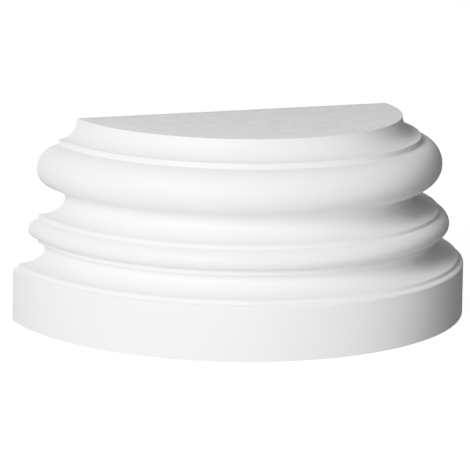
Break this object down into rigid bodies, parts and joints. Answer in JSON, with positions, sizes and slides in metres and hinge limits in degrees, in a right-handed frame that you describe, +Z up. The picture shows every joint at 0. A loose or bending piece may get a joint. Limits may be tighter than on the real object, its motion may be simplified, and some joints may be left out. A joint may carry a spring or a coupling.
{
  "type": "half-round column base",
  "caption": "Half-round column base with a flat back: plinth, two tori between scotias and fillets, and a cavetto under a flat seat.",
  "frame": {"origin": "on the underside, midway along the width and the depth", "axes": "+Z up along the column's axis, +Y into the wall out of the flat back, -Y towards the front of the round, +X to the right seen from the front"},
  "size_m": [0.4, 0.2, 0.1692],
  "materials": {
    "primed_rigid_foam": "smooth white factory primer on moulded rigid foam"
  },
  "bodies": {
    "root": {"half_column_base": "primed_rigid_foam"}
  },
  "joints": []
}
